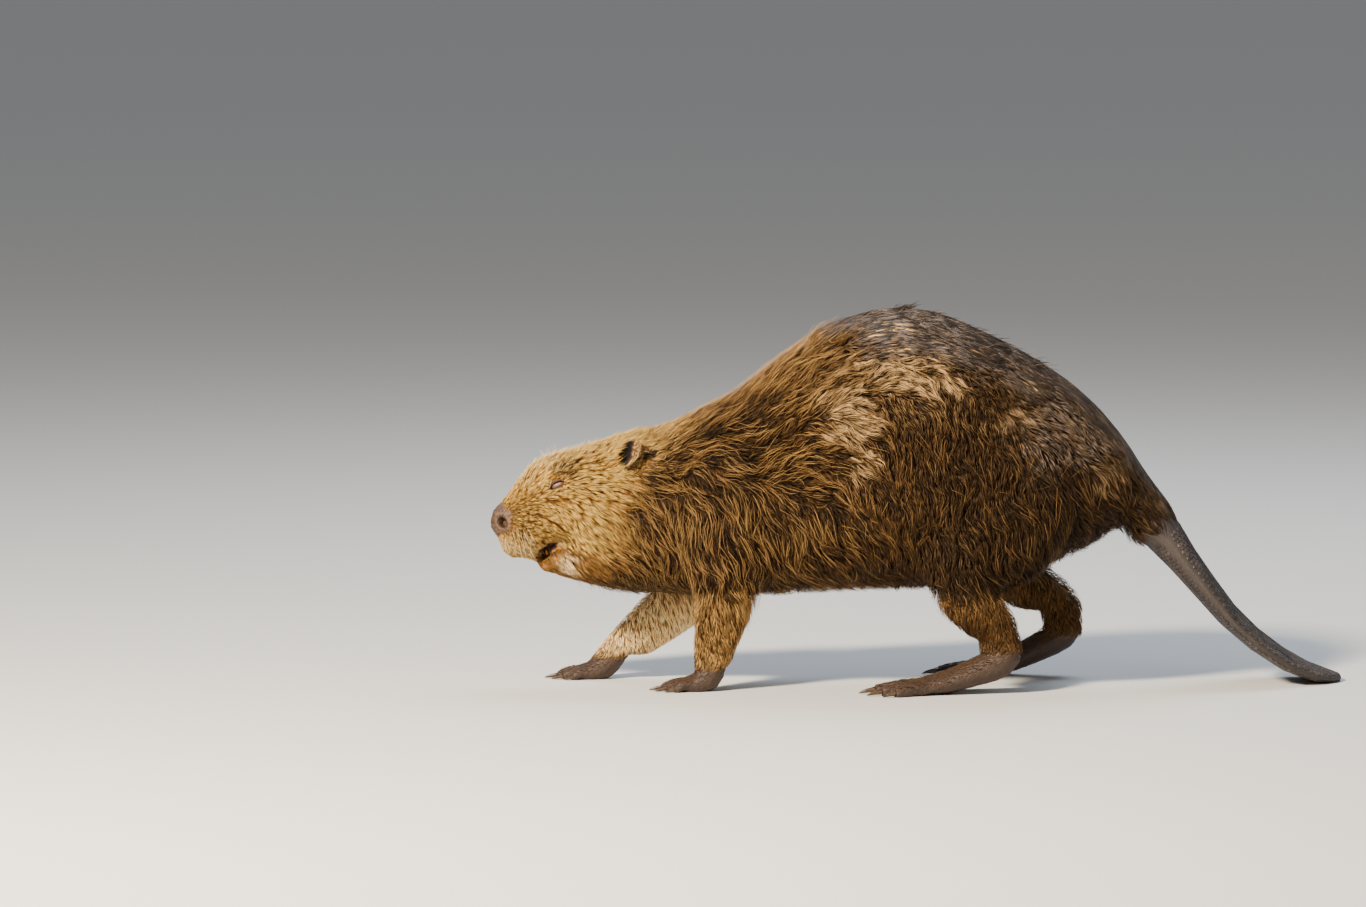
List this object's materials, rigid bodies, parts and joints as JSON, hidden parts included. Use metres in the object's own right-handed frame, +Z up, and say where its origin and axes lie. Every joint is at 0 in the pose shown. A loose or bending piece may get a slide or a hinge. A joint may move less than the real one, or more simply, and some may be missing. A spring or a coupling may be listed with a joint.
{
  "type": "beaver",
  "caption": "Life-size Eurasian beaver walking with its head held low, wet brown fur over an arched back, webbed hind feet and a flat scaly tail laid on the ground.",
  "frame": {"origin": "on the floor under the middle of the box around the whole animal", "axes": "+X runs from the nose to the tip of the tail, -Y is the animal's left side, +Z is up"},
  "size_m": [0.939, 0.2704, 0.4177],
  "materials": {
    "head_fur": "short straw-brown fur",
    "body_fur": "wet dark brown fur with golden guard hairs",
    "leg_fur": "short grey-brown fur",
    "bare_skin": "bare dark skin, finely wrinkled",
    "tail_scales": "grey-black scaly skin, damp",
    "claw_horn": "dark horn, satin",
    "eye": "wet, almost black",
    "enamel": "orange enamel"
  },
  "bodies": {
    "root": {"claw_forefoot_left_1": "claw_horn", "claw_forefoot_left_2": "claw_horn", "claw_forefoot_left_3": "claw_horn", "claw_forefoot_left_4": "claw_horn", "claw_forefoot_left_5": "claw_horn", "claw_forefoot_right_1": "claw_horn", "claw_forefoot_right_2": "claw_horn", "claw_forefoot_right_3": "claw_horn", "claw_forefoot_right_4": "claw_horn", "claw_forefoot_right_5": "claw_horn", "claw_hindfoot_left_1": "claw_horn", "claw_hindfoot_left_2": "claw_horn", "claw_hindfoot_left_3": "claw_horn", "claw_hindfoot_left_4": "claw_horn", "claw_hindfoot_left_5": "claw_horn", "claw_hindfoot_right_1": "claw_horn", "claw_hindfoot_right_2": "claw_horn", "claw_hindfoot_right_3": "claw_horn", "claw_hindfoot_right_4": "claw_horn", "claw_hindfoot_right_5": "claw_horn", "ear_left": "head_fur", "ear_right": "head_fur", "eye_left": "eye", "eye_right": "eye", "forefoot_left": "bare_skin", "forefoot_right": "bare_skin", "foreleg_left": "leg_fur", "foreleg_right": "leg_fur", "head": "head_fur", "hindfoot_left": "bare_skin", "hindfoot_right": "bare_skin", "incisors_lower": "enamel", "incisors_upper": "enamel", "jaw": "head_fur", "neck": "body_fur", "nose": "bare_skin", "shank_left": "leg_fur", "shank_right": "leg_fur", "tail": "tail_scales", "tail_root": "body_fur", "thigh_left": "body_fur", "thigh_right": "body_fur", "trunk": "body_fur"}
  },
  "joints": []
}
